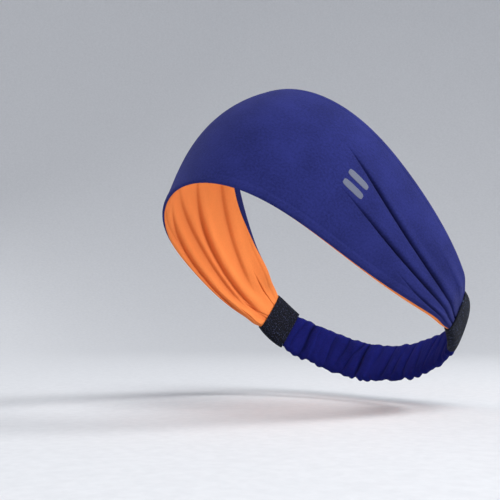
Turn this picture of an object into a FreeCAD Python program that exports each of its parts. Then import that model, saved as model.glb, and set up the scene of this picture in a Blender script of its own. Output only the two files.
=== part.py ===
import FreeCAD, Part
import math
import os

# Sports headband: a wide two-layer stretch panel over the forehead, narrowed into two knit tabs,
# and closed behind by a short gathered elastic band.  Millimetres and degrees.
#
# Row frame: +Z up, the wearer faces -Y, +X is the wearer's left, origin at the centre of the head
# opening.  The pieces are laid out in the loop's own plane (X left, Y back, Z along the loop's
# axis), and the whole band is then tilted about X, forehead high and nape low, as it is worn.
# A place on the band is an angle round the loop, from the brow (0) to the nape (180), positive
# on the wearer's left, and a height from -1 at the lower edge to +1 at the upper edge.

Vector = FreeCAD.Vector

# ---- the loop, seen along its own axis ----
LOOP_TILT = 39.0          # the loop's plane against the horizontal, as worn
HALF_WIDTH = 73.4         # ear to ear, half
HALF_DEPTH = 88.0         # brow to nape, half
BACK_FLARE = 7.5          # the loop is wider behind the ears than in front of them
SIDE_FLATTEN = 5.0        # the sides are flatter than an ellipse
BACK_ROUND = 2.8          # the nape is flatter than the brow

# ---- places along the loop ----
TAB_MOUTH = 118.0         # the panel goes into the knit tab
TAB_BACK = 134.7          # the rear band comes out of the knit tab
PANEL_END = 124.4         # hidden in the tab
GATHER_FROM = 122.6       # thread that draws the panel's end in
GATHER_TO = 123.4
BARTACK_FROM = 124.8      # thread that joins the panel's end to the elastic
BARTACK_TO = 126.8
BAND_END = 127.2          # hidden in the tab
TAB_SEAM_MARGIN = 2.0     # the tab's own seam stops short of both mouths
CASING_SEAM_MARGIN = 3.0  # the casing's seam starts clear of the tab

# ---- the front panel ----
BROW_HALF_HEIGHT = 40.4   # half the panel's height at the brow
END_HALF_HEIGHT = 12.4    # half the panel's height in the tab
TAPER_DELAY = 1.46        # over 1 keeps the panel tall for longer round the head
TAPER_SHAPE = 1.14        # over 1 rounds the taper off at the tab
BROW_CROWN = 8.6          # how far the panel domes out between its edges at the brow
CROWN_SKEW = 0.29         # above 0 the dome is fullest above mid height
CROWN_FADE = 0.7          # how the dome dies away as the panel narrows
BROW_LIFT = 9.0           # the panel's mid line above the loop's plane at the brow
LEAN_MEAN = -1.4          # lean of the top edge towards the head, mean and two harmonics
LEAN_FIRST = 2.4
LEAN_SECOND = 4.4
FABRIC = 0.8              # thickness of one layer of jersey
LAYER_GAP = 0.3           # from the panel's mid surface to each layer

# ---- the knit tabs ----
TAB_HALF_HEIGHT = 14.3
TAB_HALF_THICK = 3.1
TAB_WALL = 0.9

# ---- the rear band ----
BAND_HALF_HEIGHT = 13.1
BAND_HALF_THICK = 2.6
BAND_END_HALF_HEIGHT = 12.3
BAND_END_HALF_THICK = 1.6
BAND_SWELL = 8.0          # angle over which the gathers swell behind the tab
CASING_WALL = 0.5
NAPE_DROP = 8.0           # the band sags below the loop's plane at the nape
ELASTIC_HALF_HEIGHT = 10.0
ELASTIC_HALF_THICK = 0.65
CORNER = 3.0              # exponent of the flattened round section; 2 is an ellipse

# ---- threads and the printed mark ----
THREAD_HALF = 0.15        # half the thickness of a seam's thread
EDGE_SEAM_AT = 0.985      # height of the edge seams, on both edges
EDGE_SEAM_HALF = 0.009
CASING_SEAM_HEIGHT = -11.6
TAB_SEAM_HEIGHT = -13.0
SEAM_HALF_WIDTH = 0.15
GATHER_REACH = 0.94       # how near the gathering thread comes to the edges
BARTACK_HALF_HEIGHT = 9.0
BARTACK_HALF_THICK = 0.8
MARK_ANGLE = 55.0         # middle of the printed mark
MARK_HALF_ANGLE = 4.2
MARK_BARS = ((-0.02, 0.05), (-0.19, 0.05))   # middle and half height of each bar
MARK_THICK = 0.12
MARK_LIFT = 0.05          # above the outer layer
END_ROUND = 4.0           # exponent of the bars' rounded ends
MARK_REACH = 0.96         # share of a bar's half length that the rounding leaves

PANEL_STATIONS = 33
END_STATIONS = 3
BAND_STATIONS = 21
TAB_STATIONS = 5
SHORT_STATIONS = 5
MARK_STATIONS = 9
STRIP_POINTS = 9
RING_POINTS = 16


def plan(angle):
    """Point and outward direction of the loop's mid line, in the loop's plane."""
    a = math.radians(angle)
    x = HALF_WIDTH * math.sin(a) - BACK_FLARE * math.sin(2 * a) + SIDE_FLATTEN * math.sin(3 * a)
    y = -HALF_DEPTH * math.cos(a) - BACK_ROUND * math.cos(2 * a)
    dx = (HALF_WIDTH * math.cos(a) - 2 * BACK_FLARE * math.cos(2 * a)
          + 3 * SIDE_FLATTEN * math.cos(3 * a))
    dy = HALF_DEPTH * math.sin(a) + 2 * BACK_ROUND * math.sin(2 * a)
    return Vector(x, y, 0), Vector(dy, -dx, 0).normalize()


def panel_half_height(angle):
    """Half the panel's height, from the brow to the tab."""
    u = min(1.0, abs(angle) / TAB_MOUTH)
    taper = max(0.0, math.cos(math.pi / 2 * u ** TAPER_DELAY)) ** TAPER_SHAPE
    return END_HALF_HEIGHT + (BROW_HALF_HEIGHT - END_HALF_HEIGHT) * taper


def panel_point(angle, height, lift):
    """A point of the front panel, lifted outwards from its mid surface."""
    point, out = plan(angle)
    u = min(1.0, abs(angle) / TAB_MOUTH)
    a = math.radians(abs(angle))
    lean = LEAN_MEAN + LEAN_FIRST * math.cos(a) + LEAN_SECOND * math.cos(2 * a)
    lean = math.radians(lean * (1 - u ** 4))
    half = panel_half_height(angle)
    share = (half - END_HALF_HEIGHT) / (BROW_HALF_HEIGHT - END_HALF_HEIGHT)
    crown = BROW_CROWN * share ** CROWN_FADE * (1 - height ** 2) * (1 + CROWN_SKEW * height)
    axis = Vector(0, 0, 1)
    up = axis * math.cos(lean) - out * math.sin(lean)
    away = out * math.cos(lean) + axis * math.sin(lean)
    middle = point + axis * (BROW_LIFT * math.cos(math.pi / 2 * u) ** 2)
    return middle + up * (height * half) + away * (crown + lift)


def behind_tab(angle):
    """Angle from where the rear band leaves the nearer tab; below 0 inside the tab."""
    return min(abs(angle), 360.0 - abs(angle)) - TAB_BACK


def band_point(angle, rise, lift):
    """A point of the tabs and the rear band, at a rise along the axis and a lift outwards."""
    point, out = plan(angle)
    v = max(0.0, behind_tab(angle) / (180.0 - TAB_BACK))
    drop = NAPE_DROP * math.sin(math.pi / 2 * v) ** 2
    return point + Vector(0, 0, rise - drop) + out * lift


def spaced(first, last, count):
    """Evenly spaced values, both ends included."""
    return [first + (last - first) * i / (count - 1) for i in range(count)]


def curve(points):
    """A smooth open edge through points at even parameters."""
    spline = Part.BSplineCurve()
    spline.interpolate(Points=points, Parameters=spaced(0.0, 1.0, len(points)))
    return spline.toShape()


def loft(sections):
    """A closed solid through wires of the same make."""
    return Part.makeLoft(sections, True, False)


def tilt(shape):
    """From the loop's plane to the row frame."""
    return shape.rotated(Vector(0, 0, 0), Vector(1, 0, 0), -LOOP_TILT)


def strip_section(point_at, low, high, inner, outer):
    """Four-edged section of a thin layer between two heights and two lifts."""
    heights = spaced(low, high, STRIP_POINTS)
    outside = [point_at(h, outer) for h in heights]
    inside = [point_at(h, inner) for h in reversed(heights)]
    return Part.Wire([
        curve(outside),
        Part.makeLine(outside[-1], inside[0]),
        curve(inside),
        Part.makeLine(inside[-1], outside[0]),
    ])


def panel_strip(angles, low, high, inner, outer):
    """A layer that follows the front panel through the given angles."""
    sections = []
    for angle in angles:
        sections.append(strip_section(
            lambda h, lift: panel_point(angle, h, lift), low, high, inner, outer))
    return loft(sections)


def band_strip(start, end, stations, low, high, inner, outer):
    """A layer that follows the tabs or the rear band between two angles."""
    sections = []
    for angle in spaced(start, end, stations):
        sections.append(strip_section(
            lambda rise, lift: band_point(angle, rise, lift), low, high, inner, outer))
    return loft(sections)


def ring_section(angle, half_height, half_thick):
    """Closed flattened round section of a tube at one angle."""
    points = []
    for i in range(RING_POINTS):
        t = 2 * math.pi * i / RING_POINTS
        c, s = math.cos(t), math.sin(t)
        lift = half_thick * math.copysign(abs(c) ** (2 / CORNER), c)
        rise = half_height * math.copysign(abs(s) ** (2 / CORNER), s)
        points.append(band_point(angle, rise, lift))
    spline = Part.BSplineCurve()
    spline.interpolate(Points=points, PeriodicFlag=True,
                       Parameters=spaced(0.0, 1.0, RING_POINTS + 1))
    return Part.Wire([spline.toShape()])


def panel_angles():
    """Stations of a whole layer: the open panel, and its two ends inside the tabs."""
    hidden = spaced(TAB_MOUTH, PANEL_END, END_STATIONS)[1:]
    return ([-a for a in reversed(hidden)] + spaced(-TAB_MOUTH, TAB_MOUTH, PANEL_STATIONS)
            + hidden)


def outer_panel():
    return panel_strip(panel_angles(), -1, 1, LAYER_GAP, LAYER_GAP + FABRIC)


def lining_panel():
    return panel_strip(panel_angles(), -1, 1, -LAYER_GAP - FABRIC, -LAYER_GAP)


def edge_seam(edge):
    """Thread between the two layers along one edge of the panel; edge is +1 or -1."""
    middle = edge * EDGE_SEAM_AT
    return panel_strip(spaced(-TAB_MOUTH, TAB_MOUTH, PANEL_STATIONS),
                       middle - EDGE_SEAM_HALF, middle + EDGE_SEAM_HALF,
                       -THREAD_HALF, THREAD_HALF)


def tab(side):
    """Knit sleeve over one join; side is +1 on the wearer's left and -1 on the right."""
    angles = spaced(side * TAB_MOUTH, side * TAB_BACK, TAB_STATIONS)
    past = [angles[0] - side] + angles[1:-1] + [angles[-1] + side]
    shell = loft([ring_section(a, TAB_HALF_HEIGHT, TAB_HALF_THICK) for a in angles])
    hollow = loft([ring_section(a, TAB_HALF_HEIGHT - TAB_WALL, TAB_HALF_THICK - TAB_WALL)
                   for a in past])
    return shell.cut(hollow)


def tab_seam(side):
    """Thread that closes the sleeve, inside its lower edge."""
    return band_strip(side * (TAB_MOUTH + TAB_SEAM_MARGIN), side * (TAB_BACK - TAB_SEAM_MARGIN),
                      SHORT_STATIONS, TAB_SEAM_HEIGHT - SEAM_HALF_WIDTH,
                      TAB_SEAM_HEIGHT + SEAM_HALF_WIDTH, -THREAD_HALF, THREAD_HALF)


def gathering_thread(side):
    """Thread between the layers that draws the panel's end in to the tab's height."""
    return panel_strip([side * GATHER_FROM, side * GATHER_TO], -GATHER_REACH, GATHER_REACH,
                       -THREAD_HALF, THREAD_HALF)


def bartack(side):
    """Dense thread block that joins the panel's end to the elastic and its casing."""
    return band_strip(side * BARTACK_FROM, side * BARTACK_TO, 2, -BARTACK_HALF_HEIGHT,
                      BARTACK_HALF_HEIGHT, -BARTACK_HALF_THICK, BARTACK_HALF_THICK)


def band_swell(angle):
    """0 in the tab to 1 where the gathers stand at their full thickness."""
    s = min(1.0, max(0.0, behind_tab(angle) / BAND_SWELL))
    return s * s * (3 - 2 * s)


def rear_casing():
    """Gathered fabric tube round the elastic, from inside one tab to inside the other."""
    angles = spaced(BAND_END, 360.0 - BAND_END, BAND_STATIONS)
    outer = []
    inner = []
    for i, angle in enumerate(angles):
        swell = band_swell(angle)
        half_height = BAND_END_HALF_HEIGHT + (BAND_HALF_HEIGHT - BAND_END_HALF_HEIGHT) * swell
        half_thick = BAND_END_HALF_THICK + (BAND_HALF_THICK - BAND_END_HALF_THICK) * swell
        past = angle + (i == BAND_STATIONS - 1) - (i == 0)
        outer.append(ring_section(angle, half_height, half_thick))
        inner.append(ring_section(past, half_height - CASING_WALL, half_thick - CASING_WALL))
    return loft(outer).cut(loft(inner))


def elastic_core():
    return band_strip(BAND_END, 360.0 - BAND_END, BAND_STATIONS, -ELASTIC_HALF_HEIGHT,
                      ELASTIC_HALF_HEIGHT, -ELASTIC_HALF_THICK, ELASTIC_HALF_THICK)


def casing_seam():
    """Thread that closes the casing, inside its lower edge."""
    start = TAB_BACK + CASING_SEAM_MARGIN
    return band_strip(start, 360.0 - start, BAND_STATIONS,
                      CASING_SEAM_HEIGHT - SEAM_HALF_WIDTH, CASING_SEAM_HEIGHT + SEAM_HALF_WIDTH,
                      -THREAD_HALF, THREAD_HALF)


def mark_bar(middle, half):
    """One bar of the printed mark: a thin skin on the outer layer with rounded ends."""
    low = LAYER_GAP + FABRIC + MARK_LIFT
    sections = []
    for s in spaced(-MARK_REACH, MARK_REACH, MARK_STATIONS):
        reach = half * (1 - abs(s) ** END_ROUND) ** (1 / END_ROUND)
        angle = MARK_ANGLE + MARK_HALF_ANGLE * s
        sections.append(strip_section(
            lambda h, lift: panel_point(angle, h, lift), middle - reach, middle + reach,
            low, low + MARK_THICK))
    return loft(sections)


def printed_mark():
    return Part.makeCompound([mark_bar(middle, half) for middle, half in MARK_BARS])


NODES = {
    "outer_panel": outer_panel(),
    "lining_panel": lining_panel(),
    "top_edge_seam": edge_seam(1),
    "bottom_edge_seam": edge_seam(-1),
    "left_tab": tab(1),
    "right_tab": tab(-1),
    "left_tab_seam": tab_seam(1),
    "right_tab_seam": tab_seam(-1),
    "left_gathering_thread": gathering_thread(1),
    "right_gathering_thread": gathering_thread(-1),
    "left_bartack": bartack(1),
    "right_bartack": bartack(-1),
    "printed_mark": printed_mark(),
    "rear_casing": rear_casing(),
    "elastic_core": elastic_core(),
    "casing_seam": casing_seam(),
}

os.makedirs("parts", exist_ok=True)
for name, shape in NODES.items():
    placed = tilt(shape)
    placed.exportStep(os.path.join("parts", name + ".step"))
    box = placed.BoundBox
    print(name, "valid", placed.isValid(), "solids", len(placed.Solids),
          "volume %.1f" % placed.Volume, "box %.1f %.1f %.1f to %.1f %.1f %.1f" % (
              box.XMin, box.YMin, box.ZMin, box.XMax, box.YMax, box.ZMax))
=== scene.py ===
import math

import bpy
import numpy as np
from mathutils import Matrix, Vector


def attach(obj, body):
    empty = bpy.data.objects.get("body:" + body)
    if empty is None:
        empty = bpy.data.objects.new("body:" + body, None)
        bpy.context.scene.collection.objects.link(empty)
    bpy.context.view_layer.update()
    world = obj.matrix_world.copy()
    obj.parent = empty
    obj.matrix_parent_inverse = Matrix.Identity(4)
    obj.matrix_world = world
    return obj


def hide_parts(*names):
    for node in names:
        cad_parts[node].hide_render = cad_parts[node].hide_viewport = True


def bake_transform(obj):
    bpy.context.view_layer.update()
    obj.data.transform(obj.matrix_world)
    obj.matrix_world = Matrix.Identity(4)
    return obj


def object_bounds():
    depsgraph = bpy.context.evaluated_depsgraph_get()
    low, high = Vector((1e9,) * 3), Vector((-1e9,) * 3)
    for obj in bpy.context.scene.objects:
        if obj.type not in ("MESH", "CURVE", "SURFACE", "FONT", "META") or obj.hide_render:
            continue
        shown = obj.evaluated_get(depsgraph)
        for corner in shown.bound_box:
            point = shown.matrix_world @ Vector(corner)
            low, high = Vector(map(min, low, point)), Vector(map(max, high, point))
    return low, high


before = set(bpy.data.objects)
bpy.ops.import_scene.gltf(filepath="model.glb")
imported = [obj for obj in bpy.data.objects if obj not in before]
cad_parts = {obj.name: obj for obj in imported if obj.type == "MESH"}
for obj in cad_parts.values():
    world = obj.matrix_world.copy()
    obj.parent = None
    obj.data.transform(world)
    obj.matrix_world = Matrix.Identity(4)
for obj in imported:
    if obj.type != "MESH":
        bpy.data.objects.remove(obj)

# A sports headband: a two-layer jersey panel, two knit tabs and a gathered elastic band.
# Sizes are millimetres and degrees in the loop's own plane, as in the CAD model, and every
# mesh is tilted into the row frame and scaled to metres when it is made.

CAD_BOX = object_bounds()
MM = 0.001

# ---- the loop (as in the CAD model) ----
LOOP_TILT = 39.0
HALF_WIDTH = 73.4
HALF_DEPTH = 88.0
BACK_FLARE = 7.5
SIDE_FLATTEN = 5.0
BACK_ROUND = 2.8
TAB_MOUTH = 118.0
TAB_BACK = 134.7
PANEL_END = 124.4
BAND_END = 127.2
NAPE_DROP = 8.0
RIGHT_DROOP = 2.2         # the band hangs this much lower behind the right tab
DROOP_AT = 222
DROOP_SPAN = 13

# ---- the front panel ----
BROW_HALF_HEIGHT = 40.4
END_HALF_HEIGHT = 12.4
TAPER_DELAY = 1.46
TAPER_SHAPE = 1.14
BROW_CROWN = 8.6
CROWN_SKEW = 0.29
CROWN_FADE = 0.7
BROW_LIFT = 9.0
LEAN_MEAN = -1.4          # how the panel leans back: mean, first and second terms round the loop
LEAN_FIRST = 2.4
LEAN_SECOND = 4.4
HEM_RADIUS = 1.25         # half the thickness at the rolled edges
JERSEY = 0.6              # one layer's thickness
LEAST_THICK = 1.45        # of both layers together, at the bottom of a pleat
SEAM_DITCH = 0.12         # gap where the two layers meet
MOUTH_FLARE = 1.2         # the gathered cloth spreads this much each way just before a tab
FLARE_AT = 114.5
FLARE_SPAN = 4.5

# ---- tabs and rear band ----
TAB_HALF_HEIGHT = 14.3
TAB_HALF_THICK = 3.1
TAB_WALL = 0.9
BAND_HALF_HEIGHT = 13.1
BAND_HALF_THICK = 2.6
BAND_END_HALF_HEIGHT = 12.3
BAND_END_HALF_THICK = 1.6
BAND_SWELL = 8.0          # the casing swells to its full size over these degrees behind a tab
CASING_WALL = 0.5
CORNER = 3.0

# ---- the photograph's camera ----
CAMERA_AZIMUTH = 45.9
CAMERA_ELEVATION = -5.0
CAMERA_DISTANCE = 0.440
CAMERA_LENS = 54.6
AIM_RIGHT = -0.0379       # the aim point, across and up from the origin as the camera sees it
AIM_UP = 0.0077

FLOOR_GAP = 0.013         # the band hangs this far over the floor, as on an unseen head
FLOOR_RADIUS = 0.7
WALL_BEND = 0.9           # radius of the curve from floor to wall
WALL_TOP = 1.3
STAGE_TURNS = 96


def camera_axes():
    """Right, up and forward directions of the photograph's camera, which stands level."""
    azimuth, elevation = math.radians(CAMERA_AZIMUTH), math.radians(CAMERA_ELEVATION)
    back = Vector((math.sin(azimuth) * math.cos(elevation),
                   -math.cos(azimuth) * math.cos(elevation), math.sin(elevation)))
    right = Vector((math.cos(azimuth), math.sin(azimuth), 0))
    return right, back.cross(right), -back


def make_camera():
    """The photograph's camera."""
    right, up, forward = camera_axes()
    data = bpy.data.cameras.new("photo_camera")
    data.lens = CAMERA_LENS
    data.sensor_width = 36.0
    data.clip_start = 0.01
    camera = bpy.data.objects.new("photo_camera", data)
    camera.location = right * AIM_RIGHT + up * AIM_UP - forward * CAMERA_DISTANCE
    camera.rotation_euler = forward.to_track_quat("-Z", "Y").to_euler()
    bpy.context.scene.collection.objects.link(camera)
    bpy.context.scene.camera = camera


make_camera()


# ------------------------------------------------------------------ shape helpers

def ramp(x, low, high):
    """0 below low, 1 above high, smooth between."""
    s = np.clip((x - low) / (high - low), 0, 1)
    return s * s * (3 - 2 * s)


def hump(x, middle, width):
    """1 at the middle, falling smoothly to 0 on both sides."""
    return np.exp(-((x - middle) / width) ** 2)


def at_least_zero(x, rounding):
    """x where it is positive and 0 where it is negative, with the corner rounded off."""
    return 0.5 * (x + np.sqrt(x ** 2 + rounding))


def ripple(x, y, seed, waves):
    """Smooth irregular field of about unit size: a few sine waves with seeded phases."""
    draw = np.random.default_rng(seed)
    total = np.zeros(np.broadcast(x, y).shape)
    for _ in range(waves):
        kx, ky = draw.normal(size=2)
        total = total + np.sin(kx * x + ky * y + draw.uniform(0, 2 * math.pi))
    return total * math.sqrt(2.0 / waves)


def unit(vectors):
    """The same directions, one long."""
    return vectors / np.linalg.norm(vectors, axis=-1, keepdims=True)


AXIS = np.array((0.0, 0.0, 1.0))              # up from the loop's plane
THREAD_SIDES = 6


def plan(angle):
    """Mid line of the loop and its outward direction, for an array of angles."""
    a = np.radians(angle)
    x = HALF_WIDTH * np.sin(a) - BACK_FLARE * np.sin(2 * a) + SIDE_FLATTEN * np.sin(3 * a)
    y = -HALF_DEPTH * np.cos(a) - BACK_ROUND * np.cos(2 * a)
    dx = HALF_WIDTH * np.cos(a) - 2 * BACK_FLARE * np.cos(2 * a) + 3 * SIDE_FLATTEN * np.cos(3 * a)
    dy = HALF_DEPTH * np.sin(a) + 2 * BACK_ROUND * np.sin(2 * a)
    zero = np.zeros_like(x)
    return np.stack((x, y, zero), -1), unit(np.stack((dy, -dx, zero), -1))


def right_droop(angle):
    """How far the band hangs down behind the right tab."""
    return RIGHT_DROOP * hump(np.mod(angle, 360), DROOP_AT, DROOP_SPAN)


def panel_half_height(angle):
    """Half the panel's height, from the brow down to the gathered end in a tab."""
    u = np.minimum(1, np.abs(angle) / TAB_MOUTH)
    taper = np.maximum(0, np.cos(math.pi / 2 * u ** TAPER_DELAY)) ** TAPER_SHAPE
    return END_HALF_HEIGHT + (BROW_HALF_HEIGHT - END_HALF_HEIGHT) * taper


def panel_point(angle, rise, lift):
    """A point of the panel: rise is millimetres up from its mid line, lift outwards."""
    point, out = plan(angle)
    u = np.minimum(1, np.abs(angle) / TAB_MOUTH)
    a = np.radians(np.abs(angle))
    lean = LEAN_MEAN + LEAN_FIRST * np.cos(a) + LEAN_SECOND * np.cos(2 * a)
    lean = np.radians(lean * (1 - u ** 4))[..., None]
    half = panel_half_height(angle)
    share = (half - END_HALF_HEIGHT) / (BROW_HALF_HEIGHT - END_HALF_HEIGHT)
    v = np.clip(rise / half, -1, 1)
    crown = BROW_CROWN * share ** CROWN_FADE * (1 - v ** 2) * (1 + CROWN_SKEW * v)
    up = AXIS * np.cos(lean) - out * np.sin(lean)
    away = out * np.cos(lean) + AXIS * np.sin(lean)
    height = BROW_LIFT * np.cos(math.pi / 2 * u) ** 2 - right_droop(angle)
    middle = point + AXIS * height[..., None]
    flare = 1 + MOUTH_FLARE / half * hump(np.abs(angle), FLARE_AT, FLARE_SPAN)
    return middle + up * (rise * flare)[..., None] + away * (crown + lift)[..., None]


def behind_tab(angle):
    """Degrees round the loop from the nearer tab's back end, towards the nape."""
    return np.minimum(np.abs(angle), 360 - np.abs(angle)) - TAB_BACK


def band_point(angle, rise, lift):
    """A point of the tabs or the rear band, which droops a little behind the right tab."""
    point, out = plan(angle)
    v = np.maximum(0, behind_tab(angle) / (180 - TAB_BACK))
    drop = NAPE_DROP * np.sin(math.pi / 2 * v) ** 2 + right_droop(angle)
    return point + AXIS * (rise - drop)[..., None] + out * lift[..., None]


def to_row(points):
    """From the loop's plane in millimetres to the row frame in metres."""
    t = math.radians(LOOP_TILT)
    x, y, z = np.moveaxis(points, -1, 0)
    turned = (x, y * math.cos(t) + z * math.sin(t), z * math.cos(t) - y * math.sin(t))
    return np.stack(turned, -1) * MM


def arc_length(angle):
    """Distance round the loop's mid line from the brow, signed, in millimetres."""
    table = np.linspace(0, 240, 961)
    point, _ = plan(table)
    steps = np.linalg.norm(np.diff(point, axis=0), axis=1)
    along = np.concatenate(((0,), np.cumsum(steps)))
    return np.sign(angle) * np.interp(np.abs(angle), table, along)


def even_angles(start, end, count):
    """Angles whose places are evenly spaced round the loop."""
    fine = np.linspace(start, end, 600)
    along = np.abs(arc_length(fine) - arc_length(fine[0]))
    return np.interp(np.linspace(0, along[-1], count), along, fine)


def make_piece(name, grid, cloth, material, wrap_rows=False, painted_crease_shade=None):
    """Mesh from a grid of points whose columns wrap round; rows wrap too, or end in caps.
    cloth holds each point's place on the fabric, in millimetres, for the weave to follow, and
    the last argument how far painted shade darkens the colour in a pleat, from 0 to 1."""
    rows, columns = grid.shape[:2]
    index = np.arange(rows * columns).reshape(rows, columns)
    beside = np.roll(index, -1, axis=1)
    corners = np.stack((index, beside, np.roll(beside, -1, axis=0), np.roll(index, -1, axis=0)), -1)
    if not wrap_rows:
        corners = corners[:-1]
    faces = corners.reshape(-1, 4).tolist()
    if not wrap_rows:
        faces += [index[0, ::-1].tolist(), index[-1].tolist()]
    mesh = bpy.data.meshes.new(name)
    mesh.from_pydata(to_row(grid).reshape(-1, 3).tolist(), [], faces)
    cloth_data = mesh.attributes.new("cloth", "FLOAT_VECTOR", "POINT")
    cloth_data.data.foreach_set("vector", (cloth * MM).astype(np.float32).ravel())
    if painted_crease_shade is not None:
        painted_crease_shade_data = mesh.attributes.new("painted_crease_shade", "FLOAT", "POINT")
        painted_crease_shade_data.data.foreach_set("value", painted_crease_shade.astype(np.float32).ravel())
    mesh.polygons.foreach_set("use_smooth", [True] * len(mesh.polygons))
    mesh.materials.append(material)
    mesh.update()
    piece = bpy.data.objects.new(name, mesh)
    bpy.context.scene.collection.objects.link(piece)
    return piece


def there_and_back(shown, hidden):
    """Columns round a thin shell: across its shown side, then back across its hidden side."""
    return np.concatenate((shown, hidden[:, ::-1]), axis=1)


def make_thread(name, path, radius, material):
    """Round thread along a path of points in the loop's plane."""
    tangent = unit(np.gradient(path, axis=0))
    side = unit(np.cross(tangent, AXIS + 0.01))
    other = np.cross(tangent, side)
    turn = np.linspace(0, 2 * math.pi, THREAD_SIDES, endpoint=False)
    ring = (side[:, None] * np.cos(turn)[None, :, None]
            + other[:, None] * np.sin(turn)[None, :, None])
    grid = path[:, None] + radius * ring
    along = np.concatenate(((0,), np.cumsum(np.linalg.norm(np.diff(path, axis=0), axis=1))))
    cloth = np.zeros(grid.shape)
    cloth[..., 0] = along[:, None]
    cloth[..., 1] = (turn * radius)[None, :]
    return make_piece(name, grid, cloth, material)


# ------------------------------------------------------------------ materials

JERSEY_WALE = 0.00050     # one loop's width and height, in metres
JERSEY_COURSE = 0.00042
RIB_WALE = 0.00115
RIB_COURSE = 0.00080


def new_material(name):
    """A material with its node tree and its main shader."""
    material = bpy.data.materials.new(name)
    material.use_nodes = True
    tree = material.node_tree
    return material, tree, tree.nodes["Principled BSDF"]


def node(tree, kind, **settings):
    """A new node with its properties set."""
    made = tree.nodes.new(kind)
    for key, value in settings.items():
        setattr(made, key, value)
    return made


def maths(tree, operation, *values):
    """A Math node whose inputs are sockets or numbers."""
    made = node(tree, "ShaderNodeMath", operation=operation)
    for value, socket in zip(values, made.inputs):
        if isinstance(value, (int, float)):
            socket.default_value = value
        else:
            tree.links.new(value, socket)
    return made.outputs[0]


def cloth_place(tree):
    """The fabric's own coordinates in metres: as a vector, along and across."""
    cloth = node(tree, "ShaderNodeAttribute", attribute_name="cloth")
    split = node(tree, "ShaderNodeSeparateXYZ")
    tree.links.new(cloth.outputs["Vector"], split.inputs[0])
    return cloth.outputs["Vector"], split.outputs["X"], split.outputs["Y"]


def noise(tree, vector, scale, detail=3.0, rough=0.5):
    """Value socket of a noise texture laid over the given coordinates."""
    made = node(tree, "ShaderNodeTexNoise")
    made.inputs["Scale"].default_value = scale
    made.inputs["Detail"].default_value = detail
    made.inputs["Roughness"].default_value = rough
    tree.links.new(vector, made.inputs["Vector"])
    return made.outputs["Fac"]


def colour_ramp(tree, value, stops):
    """Colour socket that turns a value into a colour; stops are places with their colours."""
    made = node(tree, "ShaderNodeValToRGB")
    elements = made.color_ramp.elements
    while len(elements) < len(stops):
        elements.new(0.5)
    for element, (at, colour) in zip(elements, stops):
        element.position = at
        element.color = (*colour, 1)
    tree.links.new(value, made.inputs["Fac"])
    return made.outputs["Color"]


def bump(tree, shader, height, depth):
    """Give the shader the fine relief of a height socket; depth is in metres."""
    made = node(tree, "ShaderNodeBump")
    made.inputs["Distance"].default_value = depth
    tree.links.new(height, made.inputs["Height"])
    tree.links.new(made.outputs["Normal"], shader.inputs["Normal"])


def shade(colour, factor):
    """The colour made lighter or darker."""
    return tuple(min(1.0, c * factor) for c in colour)


def knit_loops(tree, along, across, wale, course):
    """Rows of V-shaped loops: wale is a loop's width and course its height, in metres."""
    column = maths(tree, "MULTIPLY", along, 2 * math.pi / wale)
    lean = maths(tree, "MULTIPLY", maths(tree, "SINE", column), 1.6)
    row = maths(tree, "ADD", maths(tree, "MULTIPLY", across, 2 * math.pi / course), lean)
    ribs = maths(tree, "ABSOLUTE", maths(tree, "COSINE", maths(tree, "MULTIPLY", column, 0.5)))
    return maths(tree, "ADD", maths(tree, "MULTIPLY", maths(tree, "SINE", row), 0.35), ribs)


def jersey(name, colour, deep, sheen, sheen_tint, grain=0.24):
    """Fine stretch jersey: knit loops, a soft nap and a slight mottle. Its colour is darkened
    towards deep at the bottom of a pleat as painted shade, and grain is how strong the mottle is."""
    material, tree, shader = new_material(name)
    vector, along, across = cloth_place(tree)
    mottle = noise(tree, vector, 850.0, 4.0, 0.7)
    cloud = noise(tree, vector, 55.0, 3.0)
    blend = maths(tree, "ADD", maths(tree, "MULTIPLY", mottle, 0.6),
                  maths(tree, "MULTIPLY", cloud, 0.4))
    tint = colour_ramp(tree, blend, ((0.38, shade(colour, 1 - grain)),
                                     (0.62, shade(colour, 1 + grain))))
    # Painted shade: the colour is mixed towards deep at the bottom of a pleat.
    painted_crease_shade = node(tree, "ShaderNodeAttribute", attribute_name="painted_crease_shade")
    pleat = node(tree, "ShaderNodeMix", data_type="RGBA")
    tree.links.new(painted_crease_shade.outputs["Fac"], pleat.inputs["Factor"])
    tree.links.new(tint, pleat.inputs["A"])
    pleat.inputs["B"].default_value = (*deep, 1)
    tree.links.new(pleat.outputs["Result"], shader.inputs["Base Color"])
    shader.inputs["Roughness"].default_value = 0.92
    shader.inputs["Specular IOR Level"].default_value = 0.03
    shader.inputs["Sheen Weight"].default_value = sheen
    shader.inputs["Sheen Roughness"].default_value = 0.45
    shader.inputs["Sheen Tint"].default_value = (*sheen_tint, 1)
    loops = knit_loops(tree, along, across, JERSEY_WALE, JERSEY_COURSE)
    fuzz = maths(tree, "MULTIPLY", mottle, 0.9)
    bump(tree, shader, maths(tree, "ADD", loops, fuzz), 0.00006)
    return material


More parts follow.
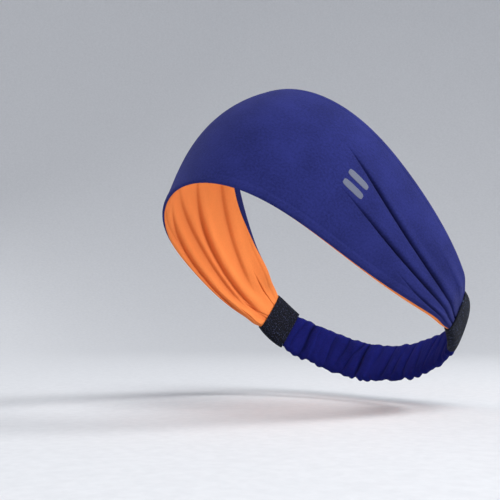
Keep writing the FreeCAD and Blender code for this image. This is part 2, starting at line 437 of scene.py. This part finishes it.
def rib_knit(name, colour):
    """Heavier ribbed knit with flecks where the yarn catches the light."""
    material, tree, shader = new_material(name)
    vector, along, across = cloth_place(tree)
    stretch = node(tree, "ShaderNodeMapping")
    stretch.inputs["Scale"].default_value = (1650.0, 720.0, 300.0)
    tree.links.new(vector, stretch.inputs["Vector"])
    fleck = noise(tree, stretch.outputs["Vector"], 1.0, 2.0, 0.6)
    tint = colour_ramp(tree, fleck, ((0.45, shade(colour, 0.40)), (0.59, colour),
                                     (0.66, shade(colour, 7.2))))
    tree.links.new(tint, shader.inputs["Base Color"])
    shader.inputs["Roughness"].default_value = 0.88
    shader.inputs["Specular IOR Level"].default_value = 0.10
    shader.inputs["Sheen Weight"].default_value = 0.035
    shader.inputs["Sheen Roughness"].default_value = 0.5
    loops = knit_loops(tree, along, across, RIB_WALE, RIB_COURSE)
    bump(tree, shader, maths(tree, "ADD", loops, fleck), 0.00020)
    return material


def spun_thread(name, colour):
    """Two-ply thread: a fine twist along its length."""
    material, tree, shader = new_material(name)
    vector, along, across = cloth_place(tree)
    twist = maths(tree, "ADD", maths(tree, "MULTIPLY", along, 9000.0),
                  maths(tree, "MULTIPLY", across, 6000.0))
    ply = maths(tree, "SINE", twist)
    tint = colour_ramp(tree, maths(tree, "MULTIPLY_ADD", ply, 0.5, 0.5),
                       ((0.2, shade(colour, 0.7)), (0.9, shade(colour, 1.4))))
    tree.links.new(tint, shader.inputs["Base Color"])
    shader.inputs["Roughness"].default_value = 0.6
    shader.inputs["Sheen Weight"].default_value = 0.3
    bump(tree, shader, ply, 0.00005)
    return material


def webbing(name, colour):
    """Woven elastic: picks across, and covered rubber cords along."""
    material, tree, shader = new_material(name)
    vector, along, across = cloth_place(tree)
    picks = maths(tree, "SINE", maths(tree, "MULTIPLY", along, 2 * math.pi / 0.0007))
    cord = maths(tree, "SINE", maths(tree, "MULTIPLY", across, math.pi / 0.0011))
    cords = maths(tree, "ABSOLUTE", cord)
    weave = maths(tree, "MULTIPLY", picks, cords)
    tint = colour_ramp(tree, maths(tree, "MULTIPLY_ADD", weave, 0.5, 0.5),
                       ((0.1, shade(colour, 0.75)), (0.9, colour)))
    tree.links.new(tint, shader.inputs["Base Color"])
    shader.inputs["Roughness"].default_value = 0.8
    shader.inputs["Sheen Weight"].default_value = 0.2
    bump(tree, shader, weave, 0.00015)
    return material


def transfer(name, colour):
    """Thin heat-transfer film, matt, with the jersey's grain showing through."""
    material, tree, shader = new_material(name)
    vector, along, across = cloth_place(tree)
    speck = noise(tree, vector, 2600.0, 3.0, 0.7)
    tint = colour_ramp(tree, speck, ((0.35, shade(colour, 0.82)), (0.65, shade(colour, 1.12))))
    tree.links.new(tint, shader.inputs["Base Color"])
    shader.inputs["Roughness"].default_value = 0.55
    shader.inputs["Specular IOR Level"].default_value = 0.3
    shader.inputs["Sheen Weight"].default_value = 0.1
    loops = knit_loops(tree, along, across, JERSEY_WALE, JERSEY_COURSE)
    bump(tree, shader, maths(tree, "ADD", speck, loops), 0.00003)
    return material


INDIGO = (0.0200, 0.0250, 0.1370)
ORANGE = (0.9200, 0.2750, 0.0750)
NAVY = (0.0085, 0.0110, 0.1150)
CHARCOAL = (0.0080, 0.0105, 0.0215)

# The colour after each jersey's own colour is painted shade, laid into the bottom of its pleats and
# creases.
OUTER_JERSEY = jersey("outer_jersey", INDIGO, (0.0030, 0.0035, 0.0240), 0.05, (0.7, 0.7, 1.0))
LINING_JERSEY = jersey("lining_jersey", ORANGE, (0.46, 0.060, 0.018), 0.05, (1.0, 0.6, 0.4),
                       0.04)
CASING_JERSEY = jersey("casing_jersey", NAVY, (0.0020, 0.0025, 0.0250), 0.06, (0.25, 0.28, 1.0))
KNIT = rib_knit("knit_tab", CHARCOAL)
INDIGO_THREAD = spun_thread("indigo_thread", INDIGO)
CHARCOAL_THREAD = spun_thread("charcoal_thread", CHARCOAL)
WEBBING = webbing("elastic_webbing", (0.78, 0.78, 0.76))
PRINT = transfer("transfer_print", (0.118, 0.132, 0.195))


# ------------------------------------------------------------------ the front panel

# A pleat runs from a place on the open panel into a tab. Its heights there, half way and at the
# tab are shares of the panel's half height: (starts at, full after, first height, middle, last,
# depth, width, slit, ends at). The slit is the sharp crease at its bottom; without an end it
# runs into the tab. Angles are degrees from the brow.
OUTER_LEFT = (
    (44, 22, 0.31, -0.075, -0.38, 1.0, 1.6, 2.8, None),
    (49, 30, -0.30, -0.44, -0.70, 1.0, 1.5, 2.6, None),
    (82, 24, -0.69, -0.85, -0.93, 0.6, 1.0, 1.6, None),
    (74, 40, 0.44, 0.30, 0.16, 0.35, 2.6, 0.0, None),
    (94, 22, 0.74, 0.66, 0.58, 0.2, 2.2, 0.0, None),
)
OUTER_RIGHT = (
    (52, 24, 0.12, -0.10, -0.24, 1.1, 1.8, 2.0, None),
    (46, 26, -0.42, -0.50, -0.64, 1.0, 1.6, 2.2, None),
    (68, 24, 0.54, 0.42, 0.30, 0.8, 1.6, 1.4, None),
    (84, 20, 0.80, 0.76, 0.72, 0.5, 1.4, 0.6, None),
    (88, 20, -0.74, -0.82, -0.90, 0.6, 1.2, 0.8, None),
)
LINING_RIGHT = (
    (34, 40, 0.22, -0.19, -0.48, 2.7, 2.7, 0.0, None),
    (40, 34, 0.64, 0.46, -0.20, 1.4, 3.2, 0.0, 92),
    (24, 34, -0.50, -0.44, -0.80, 1.7, 2.6, 0.0, 92),
    (28, 30, -0.73, -0.87, -1.03, 2.1, 2.0, 0.3, None),
    (22, 14, -0.98, -0.84, -0.70, 0.8, 2.0, 0.0, 42),
    (97, 12, 0.52, 0.46, 0.40, 0.3, 1.0, 1.3, None),
    (100, 12, -0.56, -0.46, -0.33, 0.2, 1.0, 1.2, None),
    (98, 12, -0.86, -0.91, -0.96, 0.3, 1.0, 1.0, None),
)
LINING_LEFT = (
    (40, 30, 0.06, -0.14, -0.30, 2.2, 2.6, 0.3, None),
    (46, 28, 0.52, 0.42, 0.26, 1.6, 2.6, 0.2, None),
    (30, 30, -0.52, -0.56, -0.72, 1.8, 2.6, 0.2, None),
    (76, 20, 0.78, 0.74, 0.68, 0.9, 1.6, 0.6, None),
)
SLIT_WIDTH = 0.52
STEEP_SIDE = 0.42         # reach of a pleat's upper and lower sides, in its widths
GENTLE_SIDE = 1.5
PLEAT_LIP = 0.28
PLEAT_HALF_HEIGHT = 30.0  # half height of the panel at which a pleat has its stated width
PLEAT_END_FADE = 18
CROWDED = (94, 116)       # the pleats lose half their depth between these angles
GATHERED = (66, 108)      # the cloth puffs up between these angles
MOUTH = (108, 117.5)      # and is pressed flatter between these, as it goes into a tab
PUFF = 1.5                # the cloth stands this far off between pleats, near the tabs
TAB_CLEARANCE = 0.35      # kept free between the gathered panel and a tab's inside
MOUTH_OPENING = 0.77      # millimetres of room gained for each degree in front of a tab


def fold_profile(x, width):
    """A valley 1 deep at x = 0: steep above, where the cloth laps over, and gentle below,
    with a ridge along its upper lip."""
    above = np.exp(-np.abs(x / (STEEP_SIDE * width)) ** 1.7)
    below = np.exp(-np.abs(x / (GENTLE_SIDE * width)) ** 1.35)
    lip = PLEAT_LIP * hump(x, 1.5 * width, 1.2 * width)
    return np.where(x > 0, above, below) - lip


def grooves(angle, v, half, pleats):
    """How deep the pleats' valleys and the sharp slits in them cut at each point."""
    total = np.zeros(v.shape)
    slits = np.zeros(v.shape)
    for start, rising, first, middle, last, depth, width, slit, end in pleats:
        s = np.clip((angle - start) / (TAB_MOUTH - start), 0, 1)
        line = (first + s * (4 * middle - 3 * first - last)
                + s ** 2 * (2 * first - 4 * middle + 2 * last))
        strength = ramp(angle, start, start + rising) * (1 - 0.5 * ramp(angle, *CROWDED))
        if end is not None:
            strength = strength * (1 - ramp(angle, end, end + PLEAT_END_FADE))
        x = (v - line) * half
        spread = width * (0.6 + 0.4 * half / PLEAT_HALF_HEIGHT)
        total = total + depth * strength * fold_profile(x, spread)
        cut = np.exp(-np.abs(x / (SLIT_WIDTH * (0.45 + 0.55 * strength))) ** 2.6)
        slits = np.maximum(slits, slit * strength * cut)
    return total, slits


def both_sides(angle, v, half, left_pleats, right_pleats):
    """Valleys and slits of the pleats on the wearer's left and right."""
    left = grooves(angle, v, half, left_pleats)
    right = grooves(-angle, v, half, right_pleats)
    return left[0] + right[0], left[1] + right[1]


def gather(angle, v, half, cut, seed):
    """How far one face of the panel stands off, from the brow to both tabs."""
    gathered = ramp(np.abs(angle), *GATHERED)
    mouth = ramp(np.abs(angle), *MOUTH)
    puff = PUFF * gathered * (1 - 0.5 * mouth)
    crinkle = 0.20 * ripple(angle / 30, v * 9, seed, 9) * gathered
    drape = 0.60 * ripple(angle / 26, v * 1.6, seed + 1, 6)
    return puff + crinkle * (1 - 0.6 * mouth) + drape * (1 - mouth) - cut * (1 - 0.45 * mouth)


def hem_line(rise, half):
    """Thin trough beside each rolled edge, where the hem's thickness ends."""
    from_edge = half - np.abs(rise)
    return 0.20 * ramp(from_edge, 2.8, 4.6) + 0.06 * hump(from_edge, 4.2, 0.8)


def rim_shift(angle, v):
    """Both layers move together: the lower rim turns out a little beside the brow, and the
    upper rim swells inwards before the right tab."""
    lip = 1.6 * hump(angle, -44, 17) * ramp(-v, 0.72, 1.0)
    swell = 2.4 * hump(angle, -104, 8) * ramp(v, 0.1, 1.0)
    return lip - swell


def tab_room(angle, rise):
    """How far off the mid line the gathered panel may stand, in and just before a tab."""
    inside = np.clip(np.abs(rise) / (TAB_HALF_HEIGHT - TAB_WALL), 0, 1)
    room = (TAB_HALF_THICK - TAB_WALL) * (1 - inside ** CORNER) ** (1 / CORNER)
    opening = MOUTH_OPENING * np.maximum(0, TAB_MOUTH - np.abs(angle))
    return room - TAB_CLEARANCE + opening


def layer_lifts(angle, v, rise, half):
    """How far the outer face stands out and the lining face in. Where a pleat would meet the
    other layer it pushes it away: the lining on the left, the outer on the right."""
    hem = hem_line(rise, half)
    outer_cut = sum(both_sides(angle, v, half, OUTER_LEFT, OUTER_RIGHT))
    lining_cut = sum(both_sides(angle, v, half, LINING_LEFT, LINING_RIGHT))
    outwards = gather(angle, v, half, outer_cut, 11) - hem
    inwards = gather(angle, v, half, lining_cut, 23) - hem
    short = LEAST_THICK - 2 * HEM_RADIUS - outwards - inwards
    push = at_least_zero(short, 0.05)
    left = ramp(angle, -30, 30)
    return outwards + push * (1 - left), inwards + push * left


def panel_surface(angle, q, skin):
    """The panel's rounded two-layer section. q runs over the outer face, up over the top edge
    and down the lining face; skin is how far under the cloth's surface the point lies."""
    half = panel_half_height(angle)
    straight = half - HEM_RADIUS
    reach = np.abs(q)
    turn = np.clip((reach - straight) / HEM_RADIUS, 0, math.pi)
    back = np.maximum(0, reach - straight - math.pi * HEM_RADIUS)
    radius = HEM_RADIUS - skin
    rise = np.sign(q) * (np.minimum(reach, straight) + radius * np.sin(turn) - back)
    v = np.clip(rise / half, -1, 1)
    facing = np.cos(turn)
    outwards, inwards = layer_lifts(angle, v, rise, half)
    lift = radius * facing + outwards * np.maximum(0, facing) - inwards * np.maximum(0, -facing)
    room = tab_room(angle, rise) - skin
    lift = np.clip(lift, -room, room)
    return panel_point(angle, rise, lift + rim_shift(angle, v))


def seam_over_top(angle):
    """How far past the top edge the outer layer wraps on to the lining side: most beside the
    right temple, where the photograph shows it, and least in the tabs."""
    shown = 4.2 * hump(angle, -65, 27)
    return 0.9 + shown - 0.6 * ramp(np.abs(angle), 70, 112)


def seam_over_bottom(angle):
    """The same at the bottom edge; below 0 the lining shows under the outer layer."""
    return 0.5 - 0.92 * ramp(angle, 12, 70) - 2.1 * ramp(-angle, 34, 62)


PANEL_ROWS = 560
LAYER_COLUMNS = 240
PAINTED_VALLEY_SHADE = 0.22       # painted shade: how much a millimetre of valley or slit darkens the colour
PAINTED_SLIT_SHADE = 0.38
SEAM_DEPTH = 0.32         # of the edge stitches under the cloth's surface
SEAM_THREAD = 0.15        # radius of the sewing thread
TACK_THREAD = 0.2         # radius of the bartack's heavier thread
EDGE_STITCH = 2.2         # stitch lengths
TAB_STITCH = 1.2
CASING_STITCH = 1.5


def stitch_wave(angle, stitch, size):
    """Side-to-side wave of a thread whose stitches are evenly spaced round the loop."""
    return size * np.sin(arc_length(angle) * math.pi / stitch)


def edge_place(half):
    """Distance over the section from the mid line to the middle of a rolled edge."""
    return half - HEM_RADIUS + math.pi / 2 * HEM_RADIUS


def panel_layer(name, lining, material):
    """One jersey layer as a closed shell: its face, and its hidden side one thickness in."""
    angle = even_angles(-PANEL_END, PANEL_END, PANEL_ROWS)[:, None]
    half = panel_half_height(angle)
    edge = edge_place(half)
    top = edge + seam_over_top(angle)
    bottom = -edge - seam_over_bottom(angle)
    if lining:
        start, end = top + SEAM_DITCH, bottom + 4 * edge - SEAM_DITCH
        pleats = LINING_LEFT, LINING_RIGHT
    else:
        start, end = bottom, top
        pleats = OUTER_LEFT, OUTER_RIGHT
    t = np.linspace(0, 1, LAYER_COLUMNS)
    share = 0.7 * t + 0.15 * (1 - np.cos(math.pi * t))      # columns crowd a little at the edges
    q = start + (end - start) * share
    q = np.where(q > 2 * edge, q - 4 * edge, q)
    angles = np.broadcast_to(angle, q.shape)
    face = panel_surface(angles, q, 0.0)
    hidden = panel_surface(angles, q, JERSEY)
    cloth = np.stack((arc_length(angles), (top - bottom) * share, np.zeros(q.shape)), -1)
    rise = np.sign(q) * np.minimum(np.abs(q), 2 * edge - np.abs(q))
    valleys, slits = both_sides(angles, np.clip(rise / half, -1, 1), half, *pleats)
    # Painted shade: the colour darkens with the depth of the pleats' valleys and slits.
    painted_crease_shade = np.clip(np.maximum(PAINTED_VALLEY_SHADE * valleys, PAINTED_SLIT_SHADE * slits), 0, 1)
    return make_piece(name, there_and_back(face, hidden), there_and_back(cloth, cloth), material,
                      painted_crease_shade=there_and_back(painted_crease_shade, painted_crease_shade))


outer_fabric = panel_layer("outer_fabric", False, OUTER_JERSEY)
lining_fabric = panel_layer("lining_fabric", True, LINING_JERSEY)


def seam_thread(name, which, seam):
    """Sewing thread in the ditch where the two layers meet along one edge."""
    angle = even_angles(-TAB_MOUTH, TAB_MOUTH, 1400)
    seam_place = edge_place(panel_half_height(angle)) + seam(angle)
    q = which * seam_place + SEAM_DITCH / 2 + stitch_wave(angle, EDGE_STITCH, 0.10)
    return make_thread(name, panel_surface(angle, q, SEAM_DEPTH), SEAM_THREAD, INDIGO_THREAD)


top_edge_stitches = seam_thread("top_edge_stitches", 1, seam_over_top)
bottom_edge_stitches = seam_thread("bottom_edge_stitches", -1, seam_over_bottom)


# ------------------------------------------------------------------ the printed mark

MARK_ANGLE = 55.0
MARK_HALF_ANGLE = 4.2
MARK_BARS = ((-0.02, 0.05), (-0.19, 0.05))    # middle and half width, as shares of half height
END_ROUND = 4.0
MARK_REACH = 0.985        # the outline stops just short of its pointed ends


def mark_bar(number, middle, half):
    """One plain bar of the print: a thin skin that follows the outer fabric, from just above
    its surface to just under it."""
    s = np.linspace(-MARK_REACH, MARK_REACH, 90)[:, None]
    reach = half * (1 - np.abs(s) ** END_ROUND) ** (1 / END_ROUND)
    angle = MARK_ANGLE + MARK_HALF_ANGLE * s
    across = np.linspace(-1, 1, 24)[None, :]
    q = (middle + reach * across) * panel_half_height(angle)
    angles = np.broadcast_to(angle, q.shape)
    grid = there_and_back(panel_surface(angles, q, -0.05), panel_surface(angles, q, 0.04))
    cloth = np.stack((arc_length(angles), q, np.zeros(q.shape)), -1)
    return make_piece("printed_bar_%d" % number, grid, there_and_back(cloth, cloth), PRINT)


bars = [mark_bar(i + 1, middle, half) for i, (middle, half) in enumerate(MARK_BARS)]


# ------------------------------------------------------------------ tabs

RING_COLUMNS = 96
TAB_ROWS = 190
LIP_ROWS = 5              # rows round the rolled lip at each end of a tube
TAB_CORE = 1.0            # half thickness kept free in a tab for the panel and the band
RIB_PITCH = 1.15
TAB_SEAM_RISE = -12.55
GATHERING_AT = 123.0
GATHERING_REACH = 11.4    # up and down from the mid line
TACK_AT = 125.8
TACK_REACH = 8.8


def ring(half_height, half_thick):
    """Rise and lift round a flattened round section, and the unit normal there."""
    t = np.linspace(0, 2 * math.pi, RING_COLUMNS, endpoint=False)
    c, s = np.cos(t), np.sin(t)
    rise = half_height * np.sign(s) * np.abs(s) ** (2 / CORNER)
    lift = half_thick * np.sign(c) * np.abs(c) ** (2 / CORNER)
    up = np.sign(s) * np.abs(s) ** (2 - 2 / CORNER) / half_height
    off = np.sign(c) * np.abs(c) ** (2 - 2 / CORNER) / half_thick
    size = np.hypot(up, off)
    return rise, lift, up / size, off / size


def ring_length(rise, lift):
    """Distance round a section from its first point."""
    step = np.hypot(np.diff(rise, axis=-1), np.diff(lift, axis=-1))
    zero = np.zeros(step.shape[:-1] + (1,))
    return np.concatenate((zero, np.cumsum(step, axis=-1)), axis=-1)


def tube(name, angle, half_height, half_thick, wall, relief, core, material):
    """Closed tube shell along the loop: out over its face, round the lip and back inside.
    relief(along, rise, lift) is how far the outer face stands off its smooth section and how
    much painted shade darkens it in a pleat, and core the half thickness that stays free inside."""
    out = np.arange(len(angle))
    first, last = np.full(LIP_ROWS, 0), np.full(LIP_ROWS, len(angle) - 1)
    row = np.concatenate((out, last, out[::-1], first))
    path, tall, thick = angle[row], half_height[row], half_thick[row]
    lip = wall * (1 - np.cos(np.linspace(0, math.pi, LIP_ROWS + 2)[1:-1])) / 2
    face = np.zeros(len(angle))
    deep = np.concatenate((face, lip, face + wall, lip[::-1]))
    rise, lift, up, off = ring(tall[:, None], thick[:, None])
    along = np.broadcast_to(arc_length(path)[:, None], rise.shape)
    stand, painted_crease_shade = relief(along, rise, lift)
    room = core + wall - thick[:, None]
    stand = room + at_least_zero(stand - room, 0.01)
    rise = rise + (stand - deep[:, None]) * up
    lift = lift + (stand - deep[:, None]) * off
    grid = band_point(np.broadcast_to(path[:, None], rise.shape), rise, lift)
    cloth = np.stack((along, ring_length(rise, lift), np.zeros(along.shape)), -1)
    return make_piece(name, grid, cloth, material, wrap_rows=True, painted_crease_shade=painted_crease_shade)


def knit_ribs(along, rise, lift):
    """Ribs up the tab, uneven as in a real knit."""
    sway = 0.12 * ripple(along / 6, rise / 5, 5, 6)
    ribs = np.abs(np.cos(math.pi * (along + sway) / RIB_PITCH)) - 0.6
    return 0.13 * ribs + 0.10 * ripple(along / 5, rise / 6, 8, 7), np.zeros(along.shape)


def knit_tab(name, side):
    """Ribbed sleeve over one join, a little fuller in its middle."""
    angle = even_angles(side * (TAB_MOUTH + 0.2), side * (TAB_BACK - 0.2), TAB_ROWS)
    s = np.linspace(-1, 1, len(angle))
    tall = TAB_HALF_HEIGHT + 0.3 - 0.7 * s ** 2
    thick = TAB_HALF_THICK + 0.25 - 0.25 * s ** 2
    return tube(name, angle, tall, thick, TAB_WALL * 0.8, knit_ribs, TAB_CORE, KNIT)


left_knit_tab = knit_tab("left_knit_tab", 1)
right_knit_tab = knit_tab("right_knit_tab", -1)


def path_thread(name, angle, rise, lift, radius, material):
    """Thread through the tabs or the rear band, at each angle's rise and lift."""
    return make_thread(name, band_point(angle, rise, lift), radius, material)


def tab_seam(name, side):
    """Thread that closes the sleeve, inside its lower edge."""
    angle = np.linspace(side * 120.0, side * 132.7, 160)
    wave = stitch_wave(angle, TAB_STITCH, 0.10)
    return path_thread(name, angle, TAB_SEAM_RISE, wave, SEAM_THREAD, CHARCOAL_THREAD)


def gathering(name, side):
    """Running stitches that draw the panel's end together, between the two layers."""
    s = np.linspace(-1, 1, 260)
    angle = side * (GATHERING_AT + 0.3 * np.sin(s * 40))
    weave = 0.12 * np.sin(s * 90)
    return path_thread(name, angle, GATHERING_REACH * s, weave, SEAM_THREAD, CHARCOAL_THREAD)


def bartack(name, side):
    """Dense zigzag that joins the panel's end to the elastic and its casing."""
    s = np.linspace(-1, 1, 900)
    angle = side * (TACK_AT + 0.85 * np.sin(s * 190))
    weave = 0.5 * np.sin(s * 95)
    return path_thread(name, angle, TACK_REACH * s, weave, TACK_THREAD, CHARCOAL_THREAD)


left_tab_stitches = tab_seam("left_tab_stitches", 1)
right_tab_stitches = tab_seam("right_tab_stitches", -1)
left_gathering = gathering("left_gathering_stitches", 1)
right_gathering = gathering("right_gathering_stitches", -1)
left_tack = bartack("left_bartack_stitches", 1)
right_tack = bartack("right_bartack_stitches", -1)


# ------------------------------------------------------------------ the rear band

CASING_ROWS = 510
ELASTIC_ROWS = 300
CASING_SEAM_RISE = -11.3
ELASTIC_HALF_WIDTH = 10.0
ELASTIC_HALF_THICK = 0.65
CASING_CORE = 0.75        # half thickness kept free in the casing for the elastic
END_PRESS = 5             # the gathers are pressed flat over this length beside a tab

# Main creases of the face that lies on the neck, from the left tab to the right one:
# (distance round from the brow, slant, depth, width).
NECK_CREASES = (
    (193.5, 0.10, 0.7, 1.0),
    (201.0, -0.15, 0.9, 1.1),
    (209.5, 0.05, 0.6, 1.2),
    (217.0, -0.10, 1.0, 1.0),
    (226.0, 0.12, 0.7, 1.3),
    (234.5, -0.08, 0.9, 1.1),
    (241.8, -0.12, 0.7, 1.0),
    (250.6, -0.17, 1.0, 1.1),
    (260.5, -0.10, 0.5, 1.4),
    (270.8, -0.06, 2.0, 1.3),
    (278.2, -0.31, 1.1, 1.1),
    (286.8, -0.10, 0.8, 1.2),
    (296.2, 0.02, 0.9, 1.1),
    (302.5, -0.05, 0.5, 1.2),
    (308.0, 0.02, 0.9, 1.0),
    (314.3, -0.02, 1.8, 1.2),
    (322.5, -0.12, 0.9, 1.0),
)


def small_creases(seed, count, start, end, deepest):
    """Seeded creases over one face: place, slant, depth, width, middle and reach up the face."""
    draw = np.random.default_rng(seed)
    places = np.linspace(start, end, count) + draw.uniform(-1.8, 1.8, count)
    return [(place, draw.normal(-0.08, 0.12), deepest * draw.uniform(0.2, 1.0),
             draw.uniform(0.6, 1.3), draw.uniform(-9, 9), draw.uniform(4, 13))
            for place in places]


BAND_START_ARC = float(arc_length(np.array(TAB_BACK)))
BAND_END_ARC = float(arc_length(np.array(360 - TAB_BACK)))
INNER_CREASES = [(*crease, 0, 16) for crease in NECK_CREASES] + small_creases(
    31, 26, BAND_START_ARC, BAND_END_ARC, 0.45)
OUTER_CREASES = small_creases(47, 20, BAND_START_ARC, BAND_END_ARC, 1.8) + small_creases(
    53, 26, BAND_START_ARC, BAND_END_ARC, 0.45)


def crease_field(along, rise, creases):
    """How deep the casing's creases cut: gentle on the side towards the left tab and steep on
    the other."""
    total = np.zeros(along.shape)
    for place, slant, depth, width, middle, reach in creases:
        off = along - place - slant * rise - 0.5 * np.sin(rise / 4 + place)
        off = np.where(off < 0, off * 0.55, off * 1.5) / width
        fade = np.exp(-np.abs((rise - middle) / reach) ** 4)
        total = total + depth * fade * (np.exp(-np.abs(off) ** 1.4)
                                        - 0.3 * np.exp(-(off + 2.2) ** 2 / 2))
    return total


def casing_relief(along, rise, lift):
    """Gathers of the casing: soft puffs between creases, fine scallops at both edges, painted
    crease shade.
    """
    face = ramp(lift, -1.2, 1.2)
    creases = (crease_field(along, rise, OUTER_CREASES) * face
               + crease_field(along, rise, INNER_CREASES) * (1 - face))
    edge = ramp(np.abs(rise), 9.5, 12.6)
    puffs = 0.40 + 0.30 * ripple((along - 0.1 * rise) / 4.0, rise / 16 + face, 3, 9)
    puffs = puffs * np.where(rise < 0, 1.0, 1 - 0.5 * edge)
    low = np.where(rise < 0, 1.0, 0.4)
    scallop = edge * low * 0.42 * ripple(along / 1.1, face, 17, 8)
    free = (ramp(along, BAND_START_ARC, BAND_START_ARC + END_PRESS)
            * ramp(-along, -BAND_END_ARC, END_PRESS - BAND_END_ARC))
    stand = (puffs + scallop - creases * (1 - 0.5 * edge)) * (0.12 + 0.88 * free)
    # Painted shade: the deeper creases darken the casing's colour.
    return stand, np.clip((creases - 0.25) * 0.6, 0, 0.9)


def band_shape(angle):
    """Half height and half thickness of the casing, which swells as it leaves a tab."""
    swell = ramp(behind_tab(angle), 0, BAND_SWELL)
    tall = BAND_END_HALF_HEIGHT + (BAND_HALF_HEIGHT - BAND_END_HALF_HEIGHT) * swell
    thick = BAND_END_HALF_THICK + (BAND_HALF_THICK - BAND_END_HALF_THICK) * swell
    return tall, thick


band_angle = even_angles(BAND_END, 360 - BAND_END, CASING_ROWS)
band_tall, band_thick = band_shape(band_angle)
rear_casing_fabric = tube("rear_casing_fabric", band_angle, band_tall, band_thick - 0.1,
                          CASING_WALL, casing_relief, CASING_CORE, CASING_JERSEY)


def elastic():
    """Flat woven elastic, its edges slightly rounded."""
    angle = even_angles(BAND_END, 360 - BAND_END, ELASTIC_ROWS)
    same = np.ones((len(angle), 1))
    rise, lift, _, _ = ring(ELASTIC_HALF_WIDTH * same, ELASTIC_HALF_THICK * same)
    grid = band_point(np.broadcast_to(angle[:, None], rise.shape), rise, lift)
    along = np.broadcast_to(arc_length(angle)[:, None], rise.shape)
    cloth = np.stack((along, rise, np.zeros(along.shape)), -1)
    return make_piece("elastic_webbing", grid, cloth, WEBBING)


elastic_band = elastic()


def casing_thread():
    """Thread that closes the casing into a tube, inside its lower edge."""
    angle = even_angles(TAB_BACK + 3, 360 - TAB_BACK - 3, 900)
    wave = stitch_wave(angle, CASING_STITCH, 0.12)
    return path_thread("casing_stitches", angle, CASING_SEAM_RISE, wave, SEAM_THREAD,
                       INDIGO_THREAD)


casing_stitches = casing_thread()


# ------------------------------------------------------------------ bodies and CAD parts

# Each piece, its material slot and the CAD node it stands for.
FRONT = (
    (outer_fabric, "outer_jersey", "outer_panel"),
    (lining_fabric, "lining_jersey", "lining_panel"),
    (top_edge_stitches, "indigo_thread", "top_edge_seam"),
    (bottom_edge_stitches, "indigo_thread", "bottom_edge_seam"),
    (left_knit_tab, "knit_tab", "left_tab"),
    (right_knit_tab, "knit_tab", "right_tab"),
    (left_tab_stitches, "charcoal_thread", "left_tab_seam"),
    (right_tab_stitches, "charcoal_thread", "right_tab_seam"),
    (left_gathering, "charcoal_thread", "left_gathering_thread"),
    (right_gathering, "charcoal_thread", "right_gathering_thread"),
    (left_tack, "charcoal_thread", "left_bartack"),
    (right_tack, "charcoal_thread", "right_bartack"),
    (bars[0], "transfer_print", "printed_mark"),
    (bars[1], "transfer_print", "printed_mark"),
)
for piece, slot_name, cad_node in FRONT:
    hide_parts(cad_node)
    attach(piece, "front")

REAR = (
    (rear_casing_fabric, "casing_jersey", "rear_casing"),
    (elastic_band, "elastic_webbing", "elastic_core"),
    (casing_stitches, "indigo_thread", "casing_seam"),
)
for piece, slot_name, cad_node in REAR:
    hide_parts(cad_node)
    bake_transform(piece)


# ------------------------------------------------------------------ stage

def stage_material():
    """Pale matt paper with a faint grain."""
    material, tree, shader = new_material("studio_paper")
    coordinates = node(tree, "ShaderNodeTexCoord")
    grain = noise(tree, coordinates.outputs["Object"], 220.0, 3.0)
    tint = colour_ramp(tree, grain, ((0.3, (0.60, 0.61, 0.63)), (0.7, (0.64, 0.65, 0.67))))
    tree.links.new(tint, shader.inputs["Base Color"])
    shader.inputs["Roughness"].default_value = 0.9
    shader.inputs["Specular IOR Level"].default_value = 0.1
    return material


def make_stage():
    """Pale round floor that curves up into a wall on all sides."""
    low = CAD_BOX[0][2] - FLOOR_GAP
    profile = [(0.0, 0.0), (0.2, 0.0)]
    for i in range(33):
        t = math.pi / 2 * i / 32
        profile.append((FLOOR_RADIUS + WALL_BEND * math.sin(t), WALL_BEND * (1 - math.cos(t))))
    profile.append((FLOOR_RADIUS + WALL_BEND, WALL_TOP))
    points = []
    for radius, up in profile:
        for i in range(STAGE_TURNS):
            t = 2 * math.pi * i / STAGE_TURNS
            points.append((radius * math.cos(t), radius * math.sin(t), low + up))
    faces = []
    for row in range(len(profile) - 1):
        for i in range(STAGE_TURNS):
            j = (i + 1) % STAGE_TURNS
            this, above = row * STAGE_TURNS, (row + 1) * STAGE_TURNS
            faces.append((this + i, this + j, above + j, above + i))
    mesh = bpy.data.meshes.new("studio_floor")
    mesh.from_pydata(points, [], faces)
    mesh.polygons.foreach_set("use_smooth", [True] * len(mesh.polygons))
    mesh.materials.append(stage_material())
    floor = bpy.data.objects.new("studio_floor", mesh)
    bpy.context.scene.collection.objects.link(floor)


def area_light(name, azimuth, elevation, distance, size, power):
    """Soft square light that faces the object, placed by its direction from it."""
    a, e = math.radians(azimuth), math.radians(elevation)
    away = Vector((math.sin(a) * math.cos(e), -math.cos(a) * math.cos(e), math.sin(e)))
    data = bpy.data.lights.new(name, "AREA")
    data.shape = "SQUARE"
    data.size = size
    data.energy = power
    light = bpy.data.objects.new(name, data)
    light.location = away * distance
    light.rotation_euler = (-away).to_track_quat("-Z", "Y").to_euler()
    bpy.context.scene.collection.objects.link(light)


def make_world():
    """Even, slightly blue light from all sides."""
    world = bpy.data.worlds.new("studio")
    world.use_nodes = True
    background = world.node_tree.nodes["Background"]
    background.inputs["Color"].default_value = (0.86, 0.90, 1.0, 1)
    background.inputs["Strength"].default_value = 0.38
    bpy.context.scene.world = world


make_stage()
make_world()
# Direction in degrees, distance and size in metres, power in watts.
area_light("key", 68, 56, 1.2, 0.6, 8.9)
area_light("fill", 0, 6, 1.3, 0.9, 3.2)
area_light("rim_light", -78, 24, 1.2, 0.5, 4.0)
area_light("low_light", 78, 6, 1.2, 0.35, 1.7)
area_light("lining_light", 132, 42, 1.1, 0.35, 7.6)
bpy.context.scene.view_settings.view_transform = "Standard"
